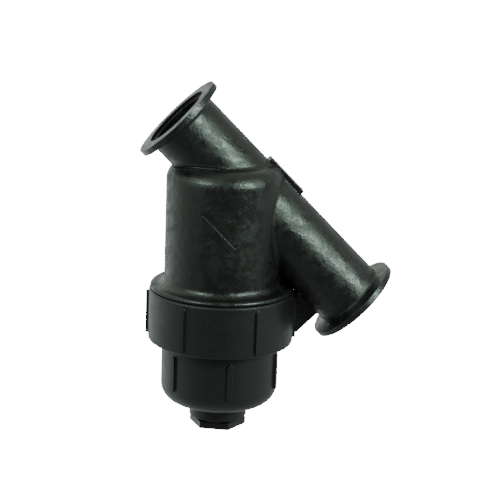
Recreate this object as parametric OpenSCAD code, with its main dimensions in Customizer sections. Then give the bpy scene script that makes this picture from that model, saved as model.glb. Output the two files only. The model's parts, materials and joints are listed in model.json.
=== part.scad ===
// Y-pattern basket strainer: moulded body with clamp flanges, a union nut that
// holds the bowl, a lift-out screen basket and a threaded drain plug.
// Millimetres. +Z runs up the branch, the run falls from inlet to outlet in the
// XZ plane, and the origin is the centre of the inlet's sealing face.

/* [Run] */
// Outer diameter of the run tube
tube_od = 61.5; // [60:0.5:63]
// Bore of the run
bore_d = 50.8; // [46:0.2:52]
// Inlet face to the crossing of run and branch
inlet_len = 60.5; // [58:0.5:66]
// Crossing of run and branch to the outlet face
outlet_len = 163.3; // [158:0.1:172]

/* [Clamp flanges] */
// Outer diameter of a flange
flange_d = 84; // [80:0.5:86]
// Thickness of a flange's rim
flange_t = 5.2; // [4:0.2:6]
// Length of the cone behind the rim
flange_cone = 2; // [1.5:0.1:4]
// Diameter of the gasket recess
recess_d = 59; // [56:0.5:60]
// Depth of the gasket recess
recess_depth = 3; // [2:0.5:4]

/* [Barrel] */
// Outer diameter of the barrel
barrel_d = 99.8; // [98:0.2:100]
// Bore of the chamber
chamber_d = 89; // [86:0.5:90]
// Radius of the rounded shoulder
shoulder_r = 13.5; // [10:0.5:15]
// Outer diameter of the stop flange above the nut
flare_d = 123; // [122:0.5:125]
// Thickness of the web under the outlet
web_t = 4; // [3:0.5:6]

/* [Ring nut] */
// Outer diameter of the nut without its ribs
nut_d = 125; // [124:0.5:126]
// Outer diameter over the ribs
nut_rib_d = 129.6; // [127:0.2:131]
// Width of a rib
rib_w = 4.4; // [2:0.2:5]
// Number of ribs on the nut and on the bowl
rib_count = 6; // [4:1:8]
// Axial distance between neighbouring thread ridges
nut_pitch = 6; // [6:0.5:7]

/* [Bowl] */
// Outer diameter of the bowl
bowl_d = 101; // [98:0.2:101.2]
// Outer corner radius of the bowl
bowl_r = 15.5; // [12:0.5:18]
// Thickness of the bowl's floor
bowl_floor = 5.5; // [5:0.5:6]

/* [Drain plug] */
// Width across the flats of the hex
plug_af = 42.6; // [40:0.2:44]
// Diameter of the plug's collar
plug_collar_d = 44; // [42:0.2:48]
// Thread pitch of the plug
plug_pitch = 3; // [3:0.5:4]

/* [Basket] */
// Outer diameter of the end rings
basket_d = 67.4; // [66:0.2:67.6]
// Mean diameter of the mesh
mesh_d = 61.8; // [60:0.2:62]
// Thickness of the mesh
mesh_t = 0.6; // [0.4:0.1:0.8]
// Number of upright bars in the cage
cage_bars = 8; // [6:1:12]
// Number of hoops in the cage
cage_hoops = 4; // [2:1:6]

/* [Hidden] */
$fn = 96;
pipe_angle = 45;
small_edge = 0.6;
black = [0.05, 0.055, 0.055];
rubber = [0.03, 0.03, 0.03];
ring_grey = [0.12, 0.13, 0.13];
steel = [0.62, 0.63, 0.64];

tube_r = tube_od / 2;
bore_r = bore_d / 2;
flange_r = flange_d / 2;
barrel_r = barrel_d / 2;
chamber_r = chamber_d / 2;

// Heights along the branch, from the crossing of the two axes
barrel_top = 4;
seat_top = -24;
seat_t = 8;
seat_bottom = seat_top - seat_t;
seat_hole_r = 27;
socket_r = 34.2;
socket_depth = 4.5;
flare_bottom = -104.6;
flare_t = 3.6;
flare_fillet = 6.5;
flare_edge = 2.4;
neck_bottom = -128;
neck_chamfer = 1.5;
gasket_t = 3;
bowl_top = neck_bottom - gasket_t;
bowl_rim_t = 8;
bowl_rim_bottom = bowl_top - bowl_rim_t;
bowl_rim_r = 56;
bowl_bottom = -205.5;
floor_top = bowl_bottom + bowl_floor;
nut_top = flare_bottom - 0.7;
nut_bottom = -150;
nut_lip_top = bowl_rim_bottom - 0.1;
nut_edge = 1.7;
nut_top_edge = 1.2;
nut_rib_low = -147.5;
nut_rib_high = -109;
nut_rib_angle = -4;
bowl_rib_low = -189.5;
bowl_rib_high = -158;
bowl_rib_angle = 37;
bowl_rib_out = 2;
boss_r = 25;
boss_bottom = -219;
plug_gasket_t = 1;
collar_top = boss_bottom - plug_gasket_t;
collar_bottom = -221.2;
hex_bottom = -227;
hex_angle = 49;
plug_hollow_r = 11.5;
plug_hollow_low = -218;
hex_recess_r = 13;
hex_recess_depth = 3;
shank_top = -201.5;
// The septum between the two bores, from the crossing along the run
septum_in = 44;
septum_out = 52;

// Threads: wall and crest radii, and the base and crest widths of the ridges
neck_root = 54;
neck_crest = 56;
nut_wall = 57;
nut_crest = 55;
ridge_base = 4;
ridge_tip = 2;
thread_starts = 2;
nut_lead = nut_pitch * thread_starts;
thread_turns = 1.25;
thread_low = neck_bottom + 4.5;
plug_root = 15;
plug_crest = 16.5;
drain_wall = 17.2;
drain_crest = 15.7;
fine_base = 1.6;
fine_tip = 0.6;
fine_low = boss_bottom + 1.8;

// Basket heights
basket_gasket_t = 1.4;
socket_top = seat_bottom + socket_depth;
ring_top = socket_top - basket_gasket_t;
ring_h = 12;
bottom_ring_bottom = floor_top + 0.3;
bottom_ring_top = bottom_ring_bottom + ring_h;
ring_bore_r = 27.6;
ring_step = 1.2;
ring_collar_h = 3;
groove = 4;
fit_gap = 0.1;
cage_w = 3;
seat_gap = 0.5;
seat_ring_t = 2.5;
seat_ring_h = 8;

// Points of an arc about [cx, cy], from angle a0 to a1
function arc(cx, cy, r, a0, a1, n) =
    [for (i = [0:n]) let (a = a0 + (a1 - a0) * i / n) [cx + r * cos(a), cy + r * sin(a)]];

// Everything is drawn about the crossing of the axes, then moved to the inlet's face
module place()
    translate([inlet_len * sin(pipe_angle), 0, -inlet_len * cos(pipe_angle)]) children();

// Turns +Z to the flow direction of the run
module along_run() rotate([0, 180 - pipe_angle, 0]) children();

// One round wall, from radius r1 to r2 and from z0 up to z1
module tube_wall(r1, r2, z0, z1)
    translate([0, 0, z0]) difference() {
        cylinder(r = r2, h = z1 - z0);
        translate([0, 0, -1]) cylinder(r = r1, h = z1 - z0 + 2);
    }

// Right-hand thread ridge with its middle at height z0 at angle 0. It stands on a wall
// of radius base_r, is sunk a little into it, and runs out into the wall at both ends.
module ridge(base_r, tip_r, base_w, tip_w, lead, turns, z0, seg) {
    steps = ceil(turns * seg);
    fade_steps = 3;
    sunk_r = base_r + (base_r < tip_r ? -0.6 : 0.6);
    sunk_w = tip_w + (base_w - tip_w) * (sunk_r - tip_r) / (base_r - tip_r);
    section = [[sunk_r, -sunk_w / 2], [tip_r, -tip_w / 2], [tip_r, tip_w / 2], [sunk_r, sunk_w / 2]];
    k = len(section);
    points = [for (i = [0:steps])
        let (a = 360 * i / seg, height = 0.15 + 0.85 * min(1, i / fade_steps, (steps - i) / fade_steps))
        for (p = section) let (r = sunk_r + (p[0] - sunk_r) * height)
            [r * cos(a), r * sin(a), z0 + lead * i / seg + p[1]]];
    sides = [for (i = [0:steps - 1]) for (j = [0:k - 1])
        let (a = i * k + j, b = i * k + (j + 1) % k) [a, b, b + k, a + k]];
    caps = [[for (j = [k - 1:-1:0]) j], [for (j = [0:k - 1]) steps * k + j]];
    faces = concat(sides, caps);
    reversed = [for (f = faces) [for (j = [len(f) - 1:-1:0]) f[j]]];
    polyhedron(points, base_r > tip_r ? reversed : faces);
}

// Upright grip ribs with round ends, from z0 up to z1, standing out to radius r
module grip_ribs(r, z0, z1, first_angle, depth)
    for (i = [0:rib_count - 1]) rotate(first_angle + i * 360 / rib_count)
        translate([r - depth, 0, 0]) rotate([90, 0, 90]) linear_extrude(depth) {
            translate([-rib_w / 2, z0 + rib_w / 2]) square([rib_w, z1 - z0 - rib_w]);
            for (z = [z0 + rib_w / 2, z1 - rib_w / 2]) translate([0, z]) circle(d = rib_w, $fn = 24);
        }

// ---- Body ----

// Half outline of one flange, from its face at 0 back over the cone into the tube
function flange_outline(run_out = 2) = [
    [flange_r, 0], [flange_r, flange_t], [tube_r + run_out, flange_t + flange_cone],
    [tube_r + small_edge, flange_t + flange_cone + small_edge],
    [tube_r, flange_t + flange_cone + run_out]];

module run_outside() {
    inlet = [for (p = flange_outline()) [p[0], p[1] - inlet_len]];
    outlet = [for (p = flange_outline()) [p[0], outlet_len - p[1]]];
    back = [for (i = [len(outlet) - 1:-1:0]) outlet[i]];
    along_run() rotate_extrude()
        polygon(concat([[0, -inlet_len]], inlet, back, [[0, outlet_len]]));
}

module barrel_outside() {
    r = flare_d / 2;
    flare_top = flare_bottom + flare_t;
    rotate_extrude() polygon(concat(
        [[0, neck_bottom], [neck_root - neck_chamfer, neck_bottom],
         [neck_root, neck_bottom + neck_chamfer], [neck_root, flare_bottom],
         [r - small_edge, flare_bottom], [r, flare_bottom + small_edge]],
        arc(r - flare_edge, flare_top - flare_edge, flare_edge, 0, 90, 6),
        arc(barrel_r + flare_fillet, flare_top + flare_fillet, flare_fillet, 270, 180, 8),
        arc(barrel_r - shoulder_r, barrel_top - shoulder_r, shoulder_r, 0, 90, 10),
        [[0, barrel_top]]));
}

// Flat web in the corner between the barrel and the outlet tube
module web() {
    web_x = 65.4;
    step_x = 62.9;
    step_z = nut_rib_high + 0.7;
    web_end = 148.3;
    sunk = 3;
    web_top = -60;
    low = flare_bottom + 0.5;
    inside = web_end * sin(pipe_angle) - 8;
    rotate([90, 0, 0]) translate([0, 0, -web_t / 2]) linear_extrude(web_t) polygon([
        [barrel_r - sunk, low], [step_x, low], [step_x, step_z], [web_x, step_z],
        [web_x, web_x - web_end / sin(pipe_angle)],
        [(web_end - tube_r + sunk) * sin(pipe_angle), -(web_end + tube_r - sunk) * sin(pipe_angle)],
        [inside, -inside], [barrel_r - sunk, web_top]]);
}

// Flat-topped pad on the upper side of the run
module pad() {
    pad_from = 19.7;
    pad_len = 40;
    pad_w = 15;
    pad_top = 34.1;
    pad_t = 14;
    along_run() translate([-pad_top, -pad_w / 2, pad_from]) cube([pad_t, pad_w, pad_len]);
}

// Raised arrow on the barrel's front that shows the way of the flow
module flow_arrow() {
    arrow_len = 50;
    arrow_w = 5;
    head = 12;
    head_w = 13;
    raised = 0.9;
    centre = [-4, 0, -51];
    neck = arrow_len / 2 - head;
    intersection() {
        translate(centre) rotate([90, pipe_angle, 0]) linear_extrude(barrel_d) polygon([
            [-arrow_len / 2, -arrow_w / 2], [neck, -arrow_w / 2], [neck, -head_w / 2],
            [arrow_len / 2, 0], [neck, head_w / 2], [neck, arrow_w / 2],
            [-arrow_len / 2, arrow_w / 2]]);
        tube_wall(barrel_r - raised, barrel_r + raised, centre[2] - arrow_len, centre[2] + arrow_len);
    }
}

// The flow path: run bore, seat port, chamber and outlet, parted by the septum
module body_hollow() {
    big = 2 * outlet_len;
    intersection() {
        along_run() translate([0, 0, -inlet_len - 1]) cylinder(r = bore_r, h = inlet_len + 1 + septum_in);
        translate([-big / 2, -big / 2, seat_top]) cube(big);
    }
    along_run() {
        translate([0, 0, -inlet_len - 1]) cylinder(d = recess_d, h = recess_depth + 1);
        translate([0, 0, outlet_len - recess_depth]) cylinder(d = recess_d, h = recess_depth + 1);
        translate([0, 0, septum_out]) cylinder(r = bore_r, h = outlet_len - septum_out + 1);
    }
    translate([0, 0, seat_bottom - 1]) cylinder(r = seat_hole_r, h = 3 * seat_t);
    translate([0, 0, seat_bottom - 1]) cylinder(r = socket_r, h = socket_depth + 1);
    translate([0, 0, neck_bottom - 1]) cylinder(r = chamber_r, h = seat_bottom - neck_bottom + 1);
}

module neck_thread() for (i = [0:thread_starts - 1]) rotate(i * 360 / thread_starts)
    ridge(neck_root, neck_crest, ridge_base, ridge_tip, nut_lead, thread_turns, thread_low, 36);

module body() color(black) place() {
    difference() {
        union() {
            run_outside();
            barrel_outside();
            web();
            pad();
            flow_arrow();
        }
        body_hollow();
    }
    neck_thread();
}

// ---- Ring nut ----

module nut_thread() for (i = [0:thread_starts - 1])
    rotate((i + 0.5) * 360 / thread_starts)
        ridge(nut_wall, nut_crest, ridge_base, ridge_tip, nut_lead, thread_turns, thread_low, 36);

module ring_nut() color(black) place() {
    r = nut_d / 2;
    lip_r = bowl_d / 2 + 0.7;
    rib_depth = 3.5;
    rotate_extrude() polygon(concat(
        [[lip_r, nut_lip_top], [lip_r, nut_bottom + 1], [lip_r + 1, nut_bottom]],
        arc(r - nut_edge, nut_bottom + nut_edge, nut_edge, -90, 0, 6),
        [[r, nut_top - nut_top_edge], [r - nut_top_edge, nut_top], [nut_wall + small_edge, nut_top],
         [nut_wall, nut_top - small_edge], [nut_wall, nut_lip_top]]));
    grip_ribs(nut_rib_d / 2, nut_rib_low, nut_rib_high, nut_rib_angle, rib_depth);
    nut_thread();
}

// ---- Bowl ----

module drain_thread()
    ridge(drain_wall, drain_crest, fine_base, fine_tip, plug_pitch, 3, fine_low, 24);

module bowl() color(black) place() {
    r = bowl_d / 2;
    in_r = 10;
    rib_depth = 4;
    seat_r = basket_d / 2 + seat_gap;
    difference() {
        union() {
            rotate_extrude() polygon(concat(
                [[0, boss_bottom], [boss_r - small_edge, boss_bottom],
                 [boss_r, boss_bottom + small_edge], [boss_r, bowl_bottom]],
                arc(r - bowl_r, bowl_bottom + bowl_r, bowl_r, -90, 0, 10),
                [[r, bowl_rim_bottom], [bowl_rim_r, bowl_rim_bottom],
                 [bowl_rim_r, bowl_top - small_edge], [bowl_rim_r - small_edge, bowl_top],
                 [0, bowl_top]]));
            grip_ribs(r + bowl_rib_out, bowl_rib_low, bowl_rib_high, bowl_rib_angle, rib_depth);
        }
        rotate_extrude() polygon(concat([[0, floor_top]],
            arc(chamber_r - in_r, floor_top + in_r, in_r, -90, 0, 8),
            [[chamber_r, bowl_top + 1], [0, bowl_top + 1]]));
        translate([0, 0, boss_bottom - 1]) cylinder(r = drain_wall, h = floor_top - boss_bottom + 2);
    }
    tube_wall(seat_r, seat_r + seat_ring_t, floor_top - 1, floor_top + seat_ring_h);
    drain_thread();
}

module bowl_gasket() color(rubber) place()
    tube_wall(chamber_r + 1, neck_root - 1.8, bowl_top, neck_bottom);

// ---- Drain plug ----

module drain_plug() color(black) place() {
    r = plug_collar_d / 2;
    edge = 0.8;
    difference() {
        union() {
            rotate_extrude() polygon([
                [0, collar_bottom - 1], [r - 2 * edge, collar_bottom - 1], [r - edge, collar_bottom],
                [r, collar_bottom + edge], [r, collar_top - edge], [r - edge, collar_top],
                [plug_root, collar_top], [plug_root, shank_top - 1], [plug_root - 1, shank_top],
                [0, shank_top]]);
            translate([0, 0, hex_bottom]) rotate(hex_angle)
                cylinder(d = plug_af / cos(30), h = collar_bottom - hex_bottom, $fn = 6);
        }
        translate([0, 0, plug_hollow_low]) cylinder(r = plug_hollow_r, h = 20);
        translate([0, 0, hex_bottom - 1]) cylinder(r = hex_recess_r, h = hex_recess_depth + 1);
    }
    ridge(plug_root, plug_crest, fine_base, fine_tip, plug_pitch, 2.5, fine_low + plug_pitch / 2, 24);
}

module plug_gasket() color(rubber) place()
    tube_wall(drain_wall + 0.4, plug_collar_d / 2 - 0.4, collar_top, boss_bottom);

// ---- Basket ----

module basket_gasket() color(rubber) place()
    tube_wall(ring_bore_r + 0.4, basket_d / 2 - 0.3, ring_top, socket_top);

// An end ring with its back at z0 and its mesh groove open towards +Z
module end_ring() difference() {
    union() {
        tube_wall(ring_bore_r, basket_d / 2, 0, ring_h - ring_collar_h);
        tube_wall(ring_bore_r, basket_d / 2 - ring_step, ring_h - ring_collar_h - 1, ring_h);
    }
    translate([0, 0, ring_h]) tube_wall(mesh_d / 2 - mesh_t / 2 - fit_gap,
        mesh_d / 2 + mesh_t / 2 + fit_gap, -groove, 1);
}

module basket_top_ring() color(ring_grey) place()
    translate([0, 0, ring_top]) mirror([0, 0, 1]) end_ring();

module basket_bottom_ring() color(ring_grey) place()
    translate([0, 0, bottom_ring_bottom]) end_ring();

module basket_mesh() color(steel) place()
    tube_wall(mesh_d / 2 - mesh_t / 2, mesh_d / 2 + mesh_t / 2,
        bottom_ring_top - groove, ring_top - ring_h + groove);

// Spot-welded strip over the mesh's lap joint
module mesh_seam() color(steel) place() {
    seam_w = 6;
    seam_t = 0.5;
    r = mesh_d / 2 - mesh_t / 2;
    low = bottom_ring_top + seam_t;
    high = ring_top - ring_h - seam_t;
    intersection() {
        tube_wall(r - seam_t, r, low, high);
        translate([0, -seam_w / 2, low]) cube([mesh_d, seam_w, high - low]);
    }
}

module basket_cage() color(ring_grey) place() {
    low = bottom_ring_top;
    high = ring_top - ring_h;
    in_r = mesh_d / 2 + mesh_t / 2;
    out_r = basket_d / 2 - 0.4;
    for (i = [0:cage_hoops - 1]) {
        z = low + (high - low) * (i + 1) / (cage_hoops + 1);
        tube_wall(in_r, out_r, z - cage_w / 2, z + cage_w / 2);
    }
    intersection() {
        tube_wall(in_r, out_r, low, high);
        for (i = [0:cage_bars - 1]) rotate((i + 0.5) * 360 / cage_bars)
            translate([0, -cage_w / 2, low]) cube([basket_d, cage_w, high - low]);
    }
}

body();
ring_nut();
bowl();
bowl_gasket();
drain_plug();
plug_gasket();
basket_gasket();
basket_top_ring();
basket_cage();
basket_mesh();
mesh_seam();
basket_bottom_ring();
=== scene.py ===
"""Looks of the Y-pattern basket strainer: moulded black plastic, a woven steel screen,
blended junctions and a white studio. Metres, in the row's frame."""
import json
import math

import bmesh
import bpy
from mathutils import Matrix, Quaternion, Vector


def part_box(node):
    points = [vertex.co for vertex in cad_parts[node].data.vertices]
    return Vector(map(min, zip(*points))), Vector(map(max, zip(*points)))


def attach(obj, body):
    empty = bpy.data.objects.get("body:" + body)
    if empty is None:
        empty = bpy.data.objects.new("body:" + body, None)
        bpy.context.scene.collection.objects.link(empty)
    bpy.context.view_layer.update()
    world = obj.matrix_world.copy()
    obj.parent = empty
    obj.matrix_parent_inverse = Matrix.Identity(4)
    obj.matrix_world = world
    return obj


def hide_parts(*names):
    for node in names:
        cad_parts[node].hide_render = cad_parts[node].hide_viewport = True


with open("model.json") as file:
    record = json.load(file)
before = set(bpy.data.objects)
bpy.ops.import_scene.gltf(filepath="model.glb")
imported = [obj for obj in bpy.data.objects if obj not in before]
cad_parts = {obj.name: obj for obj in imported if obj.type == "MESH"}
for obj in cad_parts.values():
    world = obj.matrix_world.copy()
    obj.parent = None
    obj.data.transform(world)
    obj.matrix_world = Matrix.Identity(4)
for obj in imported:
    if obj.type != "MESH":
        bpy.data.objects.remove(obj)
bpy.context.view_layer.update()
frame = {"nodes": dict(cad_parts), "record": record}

# ---- Places, from the frame ----

PIPE_ANGLE = math.radians(45)
RUN_TO_CROSSING = 0.0605
CROSSING = Vector((RUN_TO_CROSSING * math.sin(PIPE_ANGLE), 0, -RUN_TO_CROSSING * math.cos(PIPE_ANGLE)))
FLOW = Vector((math.sin(PIPE_ANGLE), 0, -math.cos(PIPE_ANGLE)))
RUN_TOP = Vector((math.cos(PIPE_ANGLE), 0, math.sin(PIPE_ANGLE)))
ACROSS = Vector((0, 1, 0))
TUBE_R = 0.03075
BARREL_R = 0.0499
BARREL_TOP = 0.004
SHOULDER_R = 0.0135

# ---- Camera ----

CAM_AZIMUTH = math.radians(-4.4)
CAM_ELEVATION = math.radians(14.4)
CAM_ROLL = math.radians(2.1)
CAM_DISTANCE = 1.321
CAM_LENS = 116.4
SENSOR = 36.0
# How far the crossing of the axes lies from the middle of the picture
CROSSING_RIGHT = -0.0141
CROSSING_UP = 0.0632


def make_camera():
    back = Vector((math.sin(CAM_AZIMUTH) * math.cos(CAM_ELEVATION),
                   -math.cos(CAM_AZIMUTH) * math.cos(CAM_ELEVATION), math.sin(CAM_ELEVATION)))
    level = Vector((math.cos(CAM_AZIMUTH), math.sin(CAM_AZIMUTH), 0))
    above = back.cross(level)
    right = math.cos(CAM_ROLL) * level + math.sin(CAM_ROLL) * above
    up = -math.sin(CAM_ROLL) * level + math.cos(CAM_ROLL) * above
    data = bpy.data.cameras.new("camera")
    data.lens = CAM_LENS
    data.sensor_width = SENSOR
    cam = bpy.data.objects.new("camera", data)
    cam.matrix_world = Matrix((
        (right.x, up.x, back.x, 0), (right.y, up.y, back.y, 0), (right.z, up.z, back.z, 0), (0, 0, 0, 1)))
    cam.location = CROSSING + back * CAM_DISTANCE - right * CROSSING_RIGHT - up * CROSSING_UP
    bpy.context.scene.collection.objects.link(cam)
    bpy.context.scene.camera = cam


make_camera()


# ---- Node helpers ----

class Nodes:
    """A short way to make and link shader nodes."""

    def __init__(self, tree):
        self.tree = tree

    def add(self, kind, inputs=None, **settings):
        made = self.tree.nodes.new(kind)
        for key, value in settings.items():
            setattr(made, key, value)
        for name, value in (inputs or {}).items():
            if hasattr(value, "links"):
                self.tree.links.new(value, made.inputs[name])
            else:
                made.inputs[name].default_value = value
        return made

    def math(self, operation, a, b=0.0):
        return self.add("ShaderNodeMath", {0: a, 1: b}, operation=operation).outputs[0]

    def span(self, value, low, high, to_low=0.0, to_high=1.0):
        """value from low to high, mapped to to_low..to_high and held at both ends."""
        return self.add("ShaderNodeMapRange", {
            "Value": value, "From Min": low, "From Max": high, "To Min": to_low, "To Max": to_high},
            interpolation_type="SMOOTHSTEP").outputs["Result"]

    def mix(self, share, a, b):
        """Colours a and b blended, each a plain (r, g, b) or another node's socket."""
        a, b = (c if hasattr(c, "links") else (*c, 1) for c in (a, b))
        return self.add("ShaderNodeMix", {"Factor": share, 6: a, 7: b}, data_type="RGBA").outputs[2]

    def noise(self, vector, scale, detail=3.0, rough=0.5, distortion=0.0):
        return self.add("ShaderNodeTexNoise", {
            "Vector": vector, "Scale": scale, "Detail": detail, "Roughness": rough,
            "Distortion": distortion}).outputs["Fac"]

    def bump(self, height, strength, distance, over):
        """The normal over, roughened by a height."""
        return self.add("ShaderNodeBump", {
            "Height": height, "Strength": strength, "Distance": distance, "Normal": over}).outputs["Normal"]


def new_material(name):
    mat = bpy.data.materials.new(name)
    mat.use_nodes = True
    return mat, Nodes(mat.node_tree), mat.node_tree.nodes["Principled BSDF"]


# ---- Studio ----

LAMP_TINT = (0.76, 1.0, 0.88)
ROOM_TINT = (0.88, 1.0, 0.92)
ROOM_BACK = 0.8
ROOM_FRONT = 0.16
ROOM_SIDES = 0.45
ROOM_RIGHT_SHARE = 0.32
SEEN_WHITE = 20.0
FLOOR_Z = -0.55
FLOOR_SIZE = 40
LAMP_AIM = Vector((0.06, 0, -0.12))
# Direction seen from the aim, distance, size, twist in degrees, watts
SOFTBOXES = {
    "key": ((0.66, -0.66, 0.45), 1.2, (0.6, 0.42), -45, 19),
    "fill": ((-0.72, -0.60, 0.62), 1.3, (0.5, 0.35), 0, 10.5),
}


def area_light(name, direction, distance, size, twist, power):
    """A softbox in a direction seen from the object's middle, turned to it and twisted about its beam."""
    data = bpy.data.lights.new(name, "AREA")
    data.shape = "RECTANGLE"
    data.size, data.size_y = size
    data.energy = power
    data.color = LAMP_TINT
    lamp = bpy.data.objects.new(name, data)
    lamp.location = LAMP_AIM + Vector(direction).normalized() * distance
    turn = (LAMP_AIM - lamp.location).to_track_quat("-Z", "Y") @ Quaternion((0, 0, 1), math.radians(twist))
    lamp.rotation_euler = turn.to_euler()
    bpy.context.scene.collection.objects.link(lamp)


def room_glow(n, kind, direction):
    """Wall or floor light from a direction: bright behind the object, dimmer to its right and
    darkest in front of it, and plain white to the camera."""
    sides = n.add("ShaderNodeSeparateXYZ", {0: direction}).outputs
    wall = n.math("MULTIPLY", n.span(sides["Y"], -0.5, 0.7, 0.0, ROOM_BACK),
                  n.span(sides["X"], -0.5, 0.4, 1.0, ROOM_RIGHT_SHARE))
    strength = n.math("ADD", wall, n.span(sides["Y"], -0.95, -0.3, ROOM_FRONT, ROOM_SIDES))
    room = n.add(kind, {"Color": (*ROOM_TINT, 1), "Strength": strength}).outputs[0]
    plain = n.add(kind, {"Color": (1, 1, 1, 1), "Strength": SEEN_WHITE}).outputs[0]
    is_seen = n.add("ShaderNodeLightPath").outputs["Is Camera Ray"]
    return n.add("ShaderNodeMixShader", {0: is_seen, 1: room, 2: plain}).outputs[0]


def make_world():
    world = bpy.data.worlds.new("studio")
    world.use_nodes = True
    n = Nodes(world.node_tree)
    direction = n.add("ShaderNodeTexCoord").outputs["Generated"]
    glow = room_glow(n, "ShaderNodeBackground", direction)
    n.tree.links.new(glow, n.tree.nodes["World Output"].inputs["Surface"])
    bpy.context.scene.world = world


def make_floor():
    bpy.ops.mesh.primitive_plane_add(size=FLOOR_SIZE, location=(0, 0, FLOOR_Z))
    floor = bpy.context.object
    floor.name = "floor"
    mat, n, _ = new_material("floor")
    place = n.add("ShaderNodeNewGeometry").outputs["Position"]
    direction = n.add("ShaderNodeVectorMath", {0: place}, operation="NORMALIZE").outputs["Vector"]
    glow = room_glow(n, "ShaderNodeEmission", direction)
    n.tree.links.new(glow, n.tree.nodes["Material Output"].inputs["Surface"])
    floor.data.materials.append(mat)


make_world()
make_floor()
for softbox, settings in SOFTBOXES.items():
    area_light(softbox, *settings)


# ---- Materials ----

# Features to the metre
FLOW_SCALE = 38
BLOTCH_SCALE = 150
SPECK_SCALE = 210.0
SCRATCH_SCALE = 420
GRAIN_SCALE = 1500
# Roughness that full flow marks add and take away, and the height of their waves
GLOSS_SWING = 0.11
FLOW_HEIGHT = 0.0013
GRAIN_HEIGHT = 0.00006
EDGE_ROUND = 0.0007
PALER = 0.10
PATCH_WEAR = 0.30


def moulded_plastic(name, tint, rough, flow_marks, scuffs, patch=None):
    """Near-black moulded polypropylene: soft edges, flow marks in the gloss, a fine grain,
    pale specks, and a rubbed patch around one point if asked for."""
    mat, n, shader = new_material(name)
    place = n.add("ShaderNodeTexCoord").outputs["Object"]
    flow = n.noise(place, FLOW_SCALE, 4, 0.62, 1.4)
    blotch = n.noise(place, BLOTCH_SCALE, 5, 0.7, 0.6)
    grain = n.noise(place, GRAIN_SCALE, 2, 0.5)
    sheen = n.math("ADD", n.math("MULTIPLY", flow, 0.55), n.math("MULTIPLY", blotch, 0.45))
    swing = GLOSS_SWING * flow_marks
    gloss = n.span(sheen, 0.38, 0.60, rough + swing, rough - swing)

    cells = n.add("ShaderNodeTexVoronoi", {"Vector": place, "Scale": SPECK_SCALE})
    near = n.span(cells.outputs["Distance"], 0.05, 0.11, 1.0, 0.0)
    chosen = n.add("ShaderNodeSeparateColor", {0: cells.outputs["Color"]}).outputs[0]
    specks = n.math("MULTIPLY", near, n.span(chosen, 0.9, 0.93))
    wear = n.math("MULTIPLY", specks, scuffs)
    if patch:
        centre, reach = patch
        away = n.add("ShaderNodeVectorMath", {0: place, 1: centre}, operation="DISTANCE").outputs["Value"]
        inside = n.span(away, reach * 0.45, reach, 1.0, 0.0)
        scratch = n.span(n.noise(place, SCRATCH_SCALE, 6, 0.8, 0.3), 0.56, 0.68)
        wear = n.math("MAXIMUM", wear, n.math("MULTIPLY", n.math("MULTIPLY", inside, scratch), PATCH_WEAR))
    soft = n.add("ShaderNodeBevel", {"Radius": EDGE_ROUND}, samples=6).outputs["Normal"]
    facing = n.add("ShaderNodeNewGeometry").outputs["Normal"]
    same = n.add("ShaderNodeVectorMath", {0: soft, 1: facing}, operation="DOT_PRODUCT").outputs["Value"]
    edge = n.math("MULTIPLY", n.span(same, 0.93, 0.995, 1.0, 0.0), n.span(blotch, 0.42, 0.6, 0.05, 0.3))
    wear = n.math("MAXIMUM", wear, n.math("MULTIPLY", edge, scuffs))

    pale = tuple(PALER + c for c in tint)
    mottled = n.mix(n.span(flow, 0.3, 0.7), tuple(c * 0.8 for c in tint), tuple(c * 1.25 for c in tint))
    n.tree.links.new(n.mix(wear, mottled, pale), shader.inputs["Base Color"])
    n.tree.links.new(n.math("ADD", gloss, n.math("MULTIPLY", wear, 0.3)), shader.inputs["Roughness"])
    shader.inputs["Specular IOR Level"].default_value = 0.5
    n.tree.links.new(n.bump(grain, 0.35, GRAIN_HEIGHT, n.bump(sheen, 0.6, FLOW_HEIGHT * flow_marks, soft)),
                     shader.inputs["Normal"])
    return mat


def rubber():
    mat, n, shader = new_material("seal_rubber")
    place = n.add("ShaderNodeTexCoord").outputs["Object"]
    dust = n.noise(place, 320, 4, 0.6)
    n.tree.links.new(n.mix(n.span(dust, 0.45, 0.75), (0.008, 0.008, 0.008), (0.03, 0.03, 0.03)),
                     shader.inputs["Base Color"])
    n.tree.links.new(n.span(dust, 0.3, 0.7, 0.55, 0.8), shader.inputs["Roughness"])
    bump = n.add("ShaderNodeBump", {"Height": dust, "Strength": 0.4, "Distance": 0.0001})
    n.tree.links.new(bump.outputs["Normal"], shader.inputs["Normal"])
    return mat


def wire_steel():
    mat, n, shader = new_material("stainless_wire")
    place = n.add("ShaderNodeTexCoord").outputs["Object"]
    drawn = n.noise(place, 900, 3, 0.6)
    n.tree.links.new(n.mix(n.span(drawn, 0.3, 0.7), (0.42, 0.43, 0.44), (0.68, 0.68, 0.67)),
                     shader.inputs["Base Color"])
    n.tree.links.new(n.span(drawn, 0.3, 0.7, 0.22, 0.4), shader.inputs["Roughness"])
    shader.inputs["Metallic"].default_value = 1.0
    return mat


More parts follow.
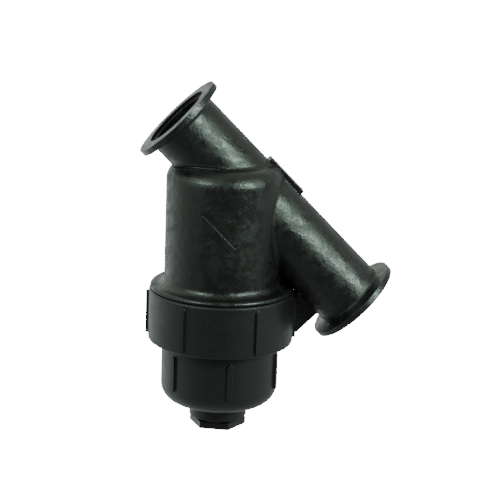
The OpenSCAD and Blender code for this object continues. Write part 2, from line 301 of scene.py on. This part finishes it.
# Its centre beside the flow arrow, and how far it reaches
RUBBED_PATCH = (CROSSING + Vector((0.004, -0.048, -0.045)), 0.034)
MATERIALS = {
    "body_plastic": moulded_plastic(
        "body_polypropylene", (0.0042, 0.0036, 0.0034), 0.38, 1.15, 0.6, RUBBED_PATCH),
    "nut_plastic": moulded_plastic("nut_polypropylene", (0.0044, 0.0039, 0.0038), 0.42, 0.35, 0.6),
    "bowl_plastic": moulded_plastic("bowl_polypropylene", (0.0050, 0.0045, 0.0047), 0.42, 0.3, 0.9),
    "plug_plastic": moulded_plastic("plug_polypropylene", (0.0034, 0.0030, 0.0030), 0.38, 0.4, 0.5),
    "ring_plastic": moulded_plastic("ring_polypropylene", (0.030, 0.034, 0.034), 0.5, 0.4, 0.3),
    "seal_rubber": rubber(),
    "mesh_steel": wire_steel(),
}
for part in frame["record"]["subparts"]:
    for material_slot in frame["nodes"][part["node"]].material_slots:
        material_slot.material = MATERIALS[part["material_slot"]]


# ---- Pieces made here ----

SHARP_EDGE = math.radians(50)


def add_piece(name, verts, faces, body, slot_name):
    """A mesh piece that rides on a CAD body and takes one of the record's finishes."""
    mesh = bpy.data.meshes.new(name)
    mesh.from_pydata(verts, [], faces)
    mesh.validate()
    bm = bmesh.new()
    bm.from_mesh(mesh)
    bmesh.ops.recalc_face_normals(bm, faces=bm.faces)
    for face in bm.faces:
        face.smooth = True
    for edge in bm.edges:
        if edge.is_manifold and edge.calc_face_angle(0) > SHARP_EDGE:
            edge.smooth = False
    bm.to_mesh(mesh)
    bm.free()
    mesh.materials.append(MATERIALS[slot_name])
    obj = bpy.data.objects.new(name, mesh)
    bpy.context.scene.collection.objects.link(obj)
    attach(obj, body)
    return obj


def ring_faces(rings, per_ring, closed):
    """Quads between neighbouring rings of per_ring points each."""
    faces = []
    for i in range(rings if closed else rings - 1):
        a, b = i * per_ring, (i + 1) % rings * per_ring
        for j in range(per_ring):
            k = (j + 1) % per_ring
            faces.append((a + j, a + k, b + k, b + j))
    if not closed:
        faces.append(tuple(reversed(range(per_ring))))
        faces.append(tuple(range((rings - 1) * per_ring, rings * per_ring)))
    return faces


# The soft inside corner where the run goes through the barrel, as a ball rolled along it

FILLET_R = 0.0032
FILLET_SUNK = 0.0012
FILLET_ARC = 6
FILLET_ROWS = 70
FILLET_LOW = -0.088
FILLET_FADE = 0.014
FILLET_LEAST = 0.15
# The search for where the ball stops: its reach, its step and the halvings that follow
SEARCH_REACH = 0.15
SEARCH_STEP = 0.0005
HALVINGS = 30


def barrel_distance(p):
    """Distance from a point, measured from the crossing, to the barrel and its rounded shoulder."""
    out = math.hypot(p.x, p.y) - (BARREL_R - SHOULDER_R)
    up = p.z - (BARREL_TOP - SHOULDER_R)
    return math.hypot(max(out, 0), max(up, 0)) + min(max(out, up), 0) - SHOULDER_R


def barrel_normal(p):
    step = 1e-5
    return Vector([barrel_distance(p + d * step) - barrel_distance(p - d * step)
                   for d in (Vector((1, 0, 0)), Vector((0, 1, 0)), Vector((0, 0, 1)))]).normalized()


def ball_centre(angle, along, r):
    return FLOW * along + (RUN_TOP * math.cos(angle) + ACROSS * math.sin(angle)) * (TUBE_R + r)


def ball_stop(angle, towards, r):
    """How far along the run a ball that rolls on the tube stops against the barrel, or None."""
    at = SEARCH_REACH
    while at > -SEARCH_REACH and barrel_distance(ball_centre(angle, at * towards, r)) > r:
        at -= SEARCH_STEP
    if at <= -SEARCH_REACH:
        return None
    low, high = at, at + SEARCH_STEP
    for _ in range(HALVINGS):
        middle = (low + high) / 2
        if barrel_distance(ball_centre(angle, middle * towards, r)) > r:
            high = middle
        else:
            low = middle
    return (low + high) / 2 * towards


def fillet_section(angle, towards):
    """One cut through the fillet: the hollow arc, and two points sunk in the walls behind it."""
    r = FILLET_R
    centre = ball_centre(angle, ball_stop(angle, towards, r), r)
    if towards > 0:
        r = FILLET_R * min(1, max(FILLET_LEAST, (centre.z - FILLET_LOW) / FILLET_FADE))
        centre = ball_centre(angle, ball_stop(angle, towards, r), r)
    on_tube = RUN_TOP * math.cos(angle) + ACROSS * math.sin(angle)
    on_barrel = barrel_normal(centre)
    arc = [centre - on_tube.slerp(on_barrel, i / FILLET_ARC) * r for i in range(FILLET_ARC + 1)]
    return arc + [arc[-1] - on_barrel * FILLET_SUNK, arc[0] - on_tube * FILLET_SUNK]


def make_fillet():
    """One strip: down the outlet's front, over the top, round the inlet and back the other way."""
    clear, meets = 0.0, math.pi
    for _ in range(HALVINGS):
        middle = (clear + meets) / 2
        if ball_stop(middle, 1, FILLET_R) is None:
            clear = middle
        else:
            meets = middle
    angles = [meets + (math.pi - meets) * (i / FILLET_ROWS) ** 2 for i in range(FILLET_ROWS + 1)]
    outlet = [a for a in angles if ball_centre(a, ball_stop(a, 1, FILLET_R), FILLET_R).z > FILLET_LOW]
    half = [(a, 1) for a in reversed(outlet)] + [(a, -1) for a in angles]
    stops = half + [(2 * math.pi - a, towards) for a, towards in reversed(half[:-1])]
    sections = [fillet_section(a, towards) for a, towards in stops]
    verts = [CROSSING + p for section in sections for p in section]
    faces = ring_faces(len(sections), FILLET_ARC + 3, False)
    add_piece("run_fillet", verts, faces, "housing", "body_plastic")


make_fillet()

# The web's heel above the nut's rib and its edge beside it: they close the gap the CAD web leaves there

WEB_HALF = 0.0019
WEB_EDGE = [(0.06272, -0.1044), (0.06272, -0.1105), (0.0650, -0.1105), (0.0650, -0.1440),
            (0.0658, -0.1434), (0.0658, -0.1044)]


def make_web_edge():
    verts = [CROSSING + Vector((x, y, z)) for y in (-WEB_HALF, WEB_HALF) for x, z in WEB_EDGE]
    add_piece("web_edge", verts, ring_faces(2, len(WEB_EDGE), False), "housing", "body_plastic")


make_web_edge()

# The woven screen, in place of the plain tube

WIRE_R = 0.00042
SCREEN_INSET = 0.0003
# How far a wire swings in and out, as a share of its radius
WEAVE_SWING = 0.55
WIRES_UP = 60
WIRES_ROUND = 48


def make_screen():
    low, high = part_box("basket_mesh")
    mesh_r = (high.x - low.x) / 2 - SCREEN_INSET
    bottom, top = low.z + WIRE_R, high.z - WIRE_R
    gap = (top - bottom) / (WIRES_ROUND - 1)
    wave = WIRE_R * WEAVE_SWING
    verts, faces = [], []

    def wire(points, outs, ups, closed):
        start = len(verts)
        for p, out, up in zip(points, outs, ups):
            for k in range(4):
                a = math.radians(45 + 90 * k)
                verts.append(CROSSING + p + (out * math.cos(a) + up * math.sin(a)) * WIRE_R)
        faces.extend(tuple(start + i for i in f) for f in ring_faces(len(points), 4, closed))

    shift = Vector((0, 0, -CROSSING.z))
    for w in range(WIRES_UP):
        a = 2 * math.pi * w / WIRES_UP
        out, side = Vector((math.cos(a), math.sin(a), 0)), Vector((-math.sin(a), math.cos(a), 0))
        points = []
        for i in range(WIRES_ROUND):
            sign = 1 if (i + w) % 2 else -1
            points.append(out * (mesh_r + sign * wave) + shift + Vector((0, 0, bottom + i * gap)))
        wire(points, [out] * len(points), [side] * len(points), False)
    for i in range(WIRES_ROUND):
        points, outs = [], []
        for w in range(WIRES_UP):
            a = 2 * math.pi * w / WIRES_UP
            out = Vector((math.cos(a), math.sin(a), 0))
            sign = -1 if (i + w) % 2 else 1
            points.append(out * (mesh_r + sign * wave) + shift + Vector((0, 0, bottom + i * gap)))
            outs.append(out)
        wire(points, outs, [Vector((0, 0, 1))] * len(points), True)
    screen = add_piece("screen_weave", verts, faces, "screen", "mesh_steel")
    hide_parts("basket_mesh")


make_screen()
